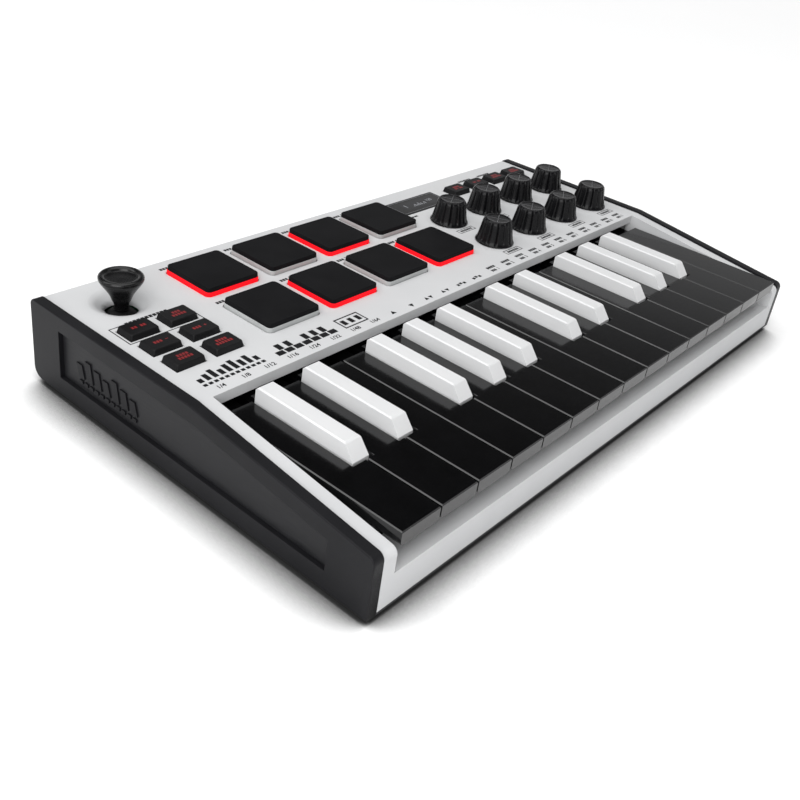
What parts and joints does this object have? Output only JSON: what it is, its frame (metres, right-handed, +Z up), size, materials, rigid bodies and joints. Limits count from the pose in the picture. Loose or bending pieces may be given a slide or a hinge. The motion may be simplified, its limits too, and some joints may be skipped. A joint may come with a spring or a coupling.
{
  "type": "midi keyboard controller",
  "caption": "Low table-top keyboard controller with black and white mini keys, square rubber pads, fluted knobs, small buttons, a display and a thumb joystick.",
  "frame": {"origin": "on the table under the middle of the case", "axes": "+X to the player's right, +Y away from the player, +Z up"},
  "size_m": [0.318, 0.181, 0.0486],
  "materials": {
    "white_plastic": "satin",
    "black_plastic": "matte",
    "cheek_plastic": "satin",
    "black_key": "gloss",
    "frame_plastic": "matte",
    "circuit_board": "satin",
    "rubber": "matte",
    "knob_plastic": "soft-touch",
    "stick_plastic": "satin"
  },
  "bodies": {
    "case": {"top_cover": "white_plastic", "bottom_cover": "black_plastic", "left_cheek": "cheek_plastic", "right_cheek": "cheek_plastic", "keybed_frame": "frame_plastic", "main_circuit_board": "circuit_board", "rubber_feet": "rubber"},
    "joystick_gimbal": {"joystick_gimbal": "frame_plastic"},
    "joystick_stick": {"joystick_stick": "stick_plastic"},
    "natural_key_01": {"natural_key_01": "black_key"},
    "natural_key_02": {"natural_key_02": "black_key"},
    "natural_key_03": {"natural_key_03": "black_key"},
    "natural_key_04": {"natural_key_04": "black_key"},
    "natural_key_05": {"natural_key_05": "black_key"},
    "natural_key_06": {"natural_key_06": "black_key"},
    "natural_key_07": {"natural_key_07": "black_key"},
    "natural_key_08": {"natural_key_08": "black_key"},
    "natural_key_09": {"natural_key_09": "black_key"},
    "natural_key_10": {"natural_key_10": "black_key"},
    "natural_key_11": {"natural_key_11": "black_key"},
    "natural_key_12": {"natural_key_12": "black_key"},
    "natural_key_13": {"natural_key_13": "black_key"},
    "natural_key_14": {"natural_key_14": "black_key"},
    "natural_key_15": {"natural_key_15": "black_key"},
    "sharp_key_01": {"sharp_key_01": "white_plastic"},
    "sharp_key_02": {"sharp_key_02": "white_plastic"},
    "sharp_key_03": {"sharp_key_03": "white_plastic"},
    "sharp_key_04": {"sharp_key_04": "white_plastic"},
    "sharp_key_05": {"sharp_key_05": "white_plastic"},
    "sharp_key_06": {"sharp_key_06": "white_plastic"},
    "sharp_key_07": {"sharp_key_07": "white_plastic"},
    "sharp_key_08": {"sharp_key_08": "white_plastic"},
    "sharp_key_09": {"sharp_key_09": "white_plastic"},
    "sharp_key_10": {"sharp_key_10": "white_plastic"},
    "drum_pad_01": {"drum_pad_01": "rubber"},
    "drum_pad_02": {"drum_pad_02": "rubber"},
    "drum_pad_03": {"drum_pad_03": "rubber"},
    "drum_pad_04": {"drum_pad_04": "rubber"},
    "drum_pad_05": {"drum_pad_05": "rubber"},
    "drum_pad_06": {"drum_pad_06": "rubber"},
    "drum_pad_07": {"drum_pad_07": "rubber"},
    "drum_pad_08": {"drum_pad_08": "rubber"},
    "control_knob_01": {"control_knob_01": "knob_plastic"},
    "control_knob_02": {"control_knob_02": "knob_plastic"},
    "control_knob_03": {"control_knob_03": "knob_plastic"},
    "control_knob_04": {"control_knob_04": "knob_plastic"},
    "control_knob_05": {"control_knob_05": "knob_plastic"},
    "control_knob_06": {"control_knob_06": "knob_plastic"},
    "control_knob_07": {"control_knob_07": "knob_plastic"},
    "control_knob_08": {"control_knob_08": "knob_plastic"},
    "left_button_01": {"left_button_01": "rubber"},
    "left_button_02": {"left_button_02": "rubber"},
    "left_button_03": {"left_button_03": "rubber"},
    "left_button_04": {"left_button_04": "rubber"},
    "left_button_05": {"left_button_05": "rubber"},
    "left_button_06": {"left_button_06": "rubber"},
    "right_button_01": {"right_button_01": "rubber"},
    "right_button_02": {"right_button_02": "rubber"},
    "right_button_03": {"right_button_03": "rubber"},
    "right_button_04": {"right_button_04": "rubber"}
  },
  "joints": [
    {"name": "joystick_pitch", "type": "hinge", "parent": "case", "child": "joystick_gimbal", "pos_m": [-0.1325, 0.0695, 0.025], "axis": [1, 0, 0], "range_deg": [-15, 15], "stiffness_Nm_per_rad": 0.06},
    {"name": "joystick_roll", "type": "hinge", "parent": "joystick_gimbal", "child": "joystick_stick", "pos_m": [-0.1325, 0.0695, 0.025], "axis": [0, 1, 0], "range_deg": [-15, 15], "stiffness_Nm_per_rad": 0.06},
    {"name": "natural_key_01_press", "type": "hinge", "parent": "case", "child": "natural_key_01", "pos_m": [0, 0.008, 0.024], "axis": [1, 0, 0], "range_deg": [0, 4], "stiffness_Nm_per_rad": 0.42, "springref_deg": -4.01},
    {"name": "sharp_key_01_press", "type": "hinge", "parent": "case", "child": "sharp_key_01", "pos_m": [0, 0.008, 0.024], "axis": [1, 0, 0], "range_deg": [0, 4], "stiffness_Nm_per_rad": 0.42, "springref_deg": -4.01},
    {"name": "drum_pad_01_press", "type": "slide", "parent": "case", "child": "drum_pad_01", "axis": [0, 0, -1], "range_m": [0, 0.0008], "stiffness_N_per_m": 2600, "springref_m": -0.0002},
    {"name": "left_button_01_press", "type": "slide", "parent": "case", "child": "left_button_01", "axis": [0, 0, -1], "range_m": [0, 0.001], "stiffness_N_per_m": 1200, "springref_m": -0.0004},
    {"name": "control_knob_01_turn", "type": "hinge", "parent": "case", "child": "control_knob_01", "pos_m": [0.0493, 0.0484, 0.0363], "axis": [0, 0, 1], "continuous": true},
    {"name": "right_button_01_press", "type": "slide", "parent": "case", "child": "right_button_01", "axis": [0, 0, -1], "range_m": [0, 0.001], "stiffness_N_per_m": 1200, "springref_m": -0.0004},
    {"name": "natural_key_02_press", "type": "hinge", "parent": "case", "child": "natural_key_02", "pos_m": [0, 0.008, 0.024], "axis": [1, 0, 0], "range_deg": [0, 4], "stiffness_Nm_per_rad": 0.42, "springref_deg": -4.01},
    {"name": "sharp_key_02_press", "type": "hinge", "parent": "case", "child": "sharp_key_02", "pos_m": [0, 0.008, 0.024], "axis": [1, 0, 0], "range_deg": [0, 4], "stiffness_Nm_per_rad": 0.42, "springref_deg": -4.01},
    {"name": "control_knob_02_turn", "type": "hinge", "parent": "case", "child": "control_knob_02", "pos_m": [0.0792, 0.0484, 0.0363], "axis": [0, 0, 1], "continuous": true},
    {"name": "control_knob_03_turn", "type": "hinge", "parent": "case", "child": "control_knob_03", "pos_m": [0.1091, 0.0484, 0.0363], "axis": [0, 0, 1], "continuous": true},
    {"name": "control_knob_04_turn", "type": "hinge", "parent": "case", "child": "control_knob_04", "pos_m": [0.139, 0.0484, 0.0363], "axis": [0, 0, 1], "continuous": true},
    {"name": "control_knob_05_turn", "type": "hinge", "parent": "case", "child": "control_knob_05", "pos_m": [0.0493, 0.0194, 0.0363], "axis": [0, 0, 1], "continuous": true},
    {"name": "control_knob_06_turn", "type": "hinge", "parent": "case", "child": "control_knob_06", "pos_m": [0.0792, 0.0194, 0.0363], "axis": [0, 0, 1], "continuous": true},
    {"name": "control_knob_07_turn", "type": "hinge", "parent": "case", "child": "control_knob_07", "pos_m": [0.1091, 0.0194, 0.0363], "axis": [0, 0, 1], "continuous": true},
    {"name": "control_knob_08_turn", "type": "hinge", "parent": "case", "child": "control_knob_08", "pos_m": [0.139, 0.0194, 0.0363], "axis": [0, 0, 1], "continuous": true},
    {"name": "drum_pad_02_press", "type": "slide", "parent": "case", "child": "drum_pad_02", "axis": [0, 0, -1], "range_m": [0, 0.0008], "stiffness_N_per_m": 2600, "springref_m": -0.0002},
    {"name": "drum_pad_03_press", "type": "slide", "parent": "case", "child": "drum_pad_03", "axis": [0, 0, -1], "range_m": [0, 0.0008], "stiffness_N_per_m": 2600, "springref_m": -0.0002},
    {"name": "drum_pad_04_press", "type": "slide", "parent": "case", "child": "drum_pad_04", "axis": [0, 0, -1], "range_m": [0, 0.0008], "stiffness_N_per_m": 2600, "springref_m": -0.0002},
    {"name": "drum_pad_05_press", "type": "slide", "parent": "case", "child": "drum_pad_05", "axis": [0, 0, -1], "range_m": [0, 0.0008], "stiffness_N_per_m": 2600, "springref_m": -0.0002},
    {"name": "drum_pad_06_press", "type": "slide", "parent": "case", "child": "drum_pad_06", "axis": [0, 0, -1], "range_m": [0, 0.0008], "stiffness_N_per_m": 2600, "springref_m": -0.0002},
    {"name": "drum_pad_07_press", "type": "slide", "parent": "case", "child": "drum_pad_07", "axis": [0, 0, -1], "range_m": [0, 0.0008], "stiffness_N_per_m": 2600, "springref_m": -0.0002},
    {"name": "drum_pad_08_press", "type": "slide", "parent": "case", "child": "drum_pad_08", "axis": [0, 0, -1], "range_m": [0, 0.0008], "stiffness_N_per_m": 2600, "springref_m": -0.0002},
    {"name": "left_button_02_press", "type": "slide", "parent": "case", "child": "left_button_02", "axis": [0, 0, -1], "range_m": [0, 0.001], "stiffness_N_per_m": 1200, "springref_m": -0.0004},
    {"name": "left_button_03_press", "type": "slide", "parent": "case", "child": "left_button_03", "axis": [0, 0, -1], "range_m": [0, 0.001], "stiffness_N_per_m": 1200, "springref_m": -0.0004},
    {"name": "left_button_04_press", "type": "slide", "parent": "case", "child": "left_button_04", "axis": [0, 0, -1], "range_m": [0, 0.001], "stiffness_N_per_m": 1200, "springref_m": -0.0004},
    {"name": "left_button_05_press", "type": "slide", "parent": "case", "child": "left_button_05", "axis": [0, 0, -1], "range_m": [0, 0.001], "stiffness_N_per_m": 1200, "springref_m": -0.0004},
    {"name": "left_button_06_press", "type": "slide", "parent": "case", "child": "left_button_06", "axis": [0, 0, -1], "range_m": [0, 0.001], "stiffness_N_per_m": 1200, "springref_m": -0.0004},
    {"name": "right_button_02_press", "type": "slide", "parent": "case", "child": "right_button_02", "axis": [0, 0, -1], "range_m": [0, 0.001], "stiffness_N_per_m": 1200, "springref_m": -0.0004},
    {"name": "right_button_03_press", "type": "slide", "parent": "case", "child": "right_button_03", "axis": [0, 0, -1], "range_m": [0, 0.001], "stiffness_N_per_m": 1200, "springref_m": -0.0004},
    {"name": "right_button_04_press", "type": "slide", "parent": "case", "child": "right_button_04", "axis": [0, 0, -1], "range_m": [0, 0.001], "stiffness_N_per_m": 1200, "springref_m": -0.0004},
    {"name": "natural_key_03_press", "type": "hinge", "parent": "case", "child": "natural_key_03", "pos_m": [0, 0.008, 0.024], "axis": [1, 0, 0], "range_deg": [0, 4], "stiffness_Nm_per_rad": 0.42, "springref_deg": -4.01},
    {"name": "natural_key_04_press", "type": "hinge", "parent": "case", "child": "natural_key_04", "pos_m": [0, 0.008, 0.024], "axis": [1, 0, 0], "range_deg": [0, 4], "stiffness_Nm_per_rad": 0.42, "springref_deg": -4.01},
    {"name": "natural_key_05_press", "type": "hinge", "parent": "case", "child": "natural_key_05", "pos_m": [0, 0.008, 0.024], "axis": [1, 0, 0], "range_deg": [0, 4], "stiffness_Nm_per_rad": 0.42, "springref_deg": -4.01},
    {"name": "natural_key_06_press", "type": "hinge", "parent": "case", "child": "natural_key_06", "pos_m": [0, 0.008, 0.024], "axis": [1, 0, 0], "range_deg": [0, 4], "stiffness_Nm_per_rad": 0.42, "springref_deg": -4.01},
    {"name": "natural_key_07_press", "type": "hinge", "parent": "case", "child": "natural_key_07", "pos_m": [0, 0.008, 0.024], "axis": [1, 0, 0], "range_deg": [0, 4], "stiffness_Nm_per_rad": 0.42, "springref_deg": -4.01},
    {"name": "natural_key_08_press", "type": "hinge", "parent": "case", "child": "natural_key_08", "pos_m": [0, 0.008, 0.024], "axis": [1, 0, 0], "range_deg": [0, 4], "stiffness_Nm_per_rad": 0.42, "springref_deg": -4.01},
    {"name": "natural_key_09_press", "type": "hinge", "parent": "case", "child": "natural_key_09", "pos_m": [0, 0.008, 0.024], "axis": [1, 0, 0], "range_deg": [0, 4], "stiffness_Nm_per_rad": 0.42, "springref_deg": -4.01},
    {"name": "natural_key_10_press", "type": "hinge", "parent": "case", "child": "natural_key_10", "pos_m": [0, 0.008, 0.024], "axis": [1, 0, 0], "range_deg": [0, 4], "stiffness_Nm_per_rad": 0.42, "springref_deg": -4.01},
    {"name": "natural_key_11_press", "type": "hinge", "parent": "case", "child": "natural_key_11", "pos_m": [0, 0.008, 0.024], "axis": [1, 0, 0], "range_deg": [0, 4], "stiffness_Nm_per_rad": 0.42, "springref_deg": -4.01},
    {"name": "natural_key_12_press", "type": "hinge", "parent": "case", "child": "natural_key_12", "pos_m": [0, 0.008, 0.024], "axis": [1, 0, 0], "range_deg": [0, 4], "stiffness_Nm_per_rad": 0.42, "springref_deg": -4.01},
    {"name": "natural_key_13_press", "type": "hinge", "parent": "case", "child": "natural_key_13", "pos_m": [0, 0.008, 0.024], "axis": [1, 0, 0], "range_deg": [0, 4], "stiffness_Nm_per_rad": 0.42, "springref_deg": -4.01},
    {"name": "natural_key_14_press", "type": "hinge", "parent": "case", "child": "natural_key_14", "pos_m": [0, 0.008, 0.024], "axis": [1, 0, 0], "range_deg": [0, 4], "stiffness_Nm_per_rad": 0.42, "springref_deg": -4.01},
    {"name": "natural_key_15_press", "type": "hinge", "parent": "case", "child": "natural_key_15", "pos_m": [0, 0.008, 0.024], "axis": [1, 0, 0], "range_deg": [0, 4], "stiffness_Nm_per_rad": 0.42, "springref_deg": -4.01},
    {"name": "sharp_key_03_press", "type": "hinge", "parent": "case", "child": "sharp_key_03", "pos_m": [0, 0.008, 0.024], "axis": [1, 0, 0], "range_deg": [0, 4], "stiffness_Nm_per_rad": 0.42, "springref_deg": -4.01},
    {"name": "sharp_key_04_press", "type": "hinge", "parent": "case", "child": "sharp_key_04", "pos_m": [0, 0.008, 0.024], "axis": [1, 0, 0], "range_deg": [0, 4], "stiffness_Nm_per_rad": 0.42, "springref_deg": -4.01},
    {"name": "sharp_key_05_press", "type": "hinge", "parent": "case", "child": "sharp_key_05", "pos_m": [0, 0.008, 0.024], "axis": [1, 0, 0], "range_deg": [0, 4], "stiffness_Nm_per_rad": 0.42, "springref_deg": -4.01},
    {"name": "sharp_key_06_press", "type": "hinge", "parent": "case", "child": "sharp_key_06", "pos_m": [0, 0.008, 0.024], "axis": [1, 0, 0], "range_deg": [0, 4], "stiffness_Nm_per_rad": 0.42, "springref_deg": -4.01},
    {"name": "sharp_key_07_press", "type": "hinge", "parent": "case", "child": "sharp_key_07", "pos_m": [0, 0.008, 0.024], "axis": [1, 0, 0], "range_deg": [0, 4], "stiffness_Nm_per_rad": 0.42, "springref_deg": -4.01},
    {"name": "sharp_key_08_press", "type": "hinge", "parent": "case", "child": "sharp_key_08", "pos_m": [0, 0.008, 0.024], "axis": [1, 0, 0], "range_deg": [0, 4], "stiffness_Nm_per_rad": 0.42, "springref_deg": -4.01},
    {"name": "sharp_key_09_press", "type": "hinge", "parent": "case", "child": "sharp_key_09", "pos_m": [0, 0.008, 0.024], "axis": [1, 0, 0], "range_deg": [0, 4], "stiffness_Nm_per_rad": 0.42, "springref_deg": -4.01},
    {"name": "sharp_key_10_press", "type": "hinge", "parent": "case", "child": "sharp_key_10", "pos_m": [0, 0.008, 0.024], "axis": [1, 0, 0], "range_deg": [0, 4], "stiffness_Nm_per_rad": 0.42, "springref_deg": -4.01}
  ]
}
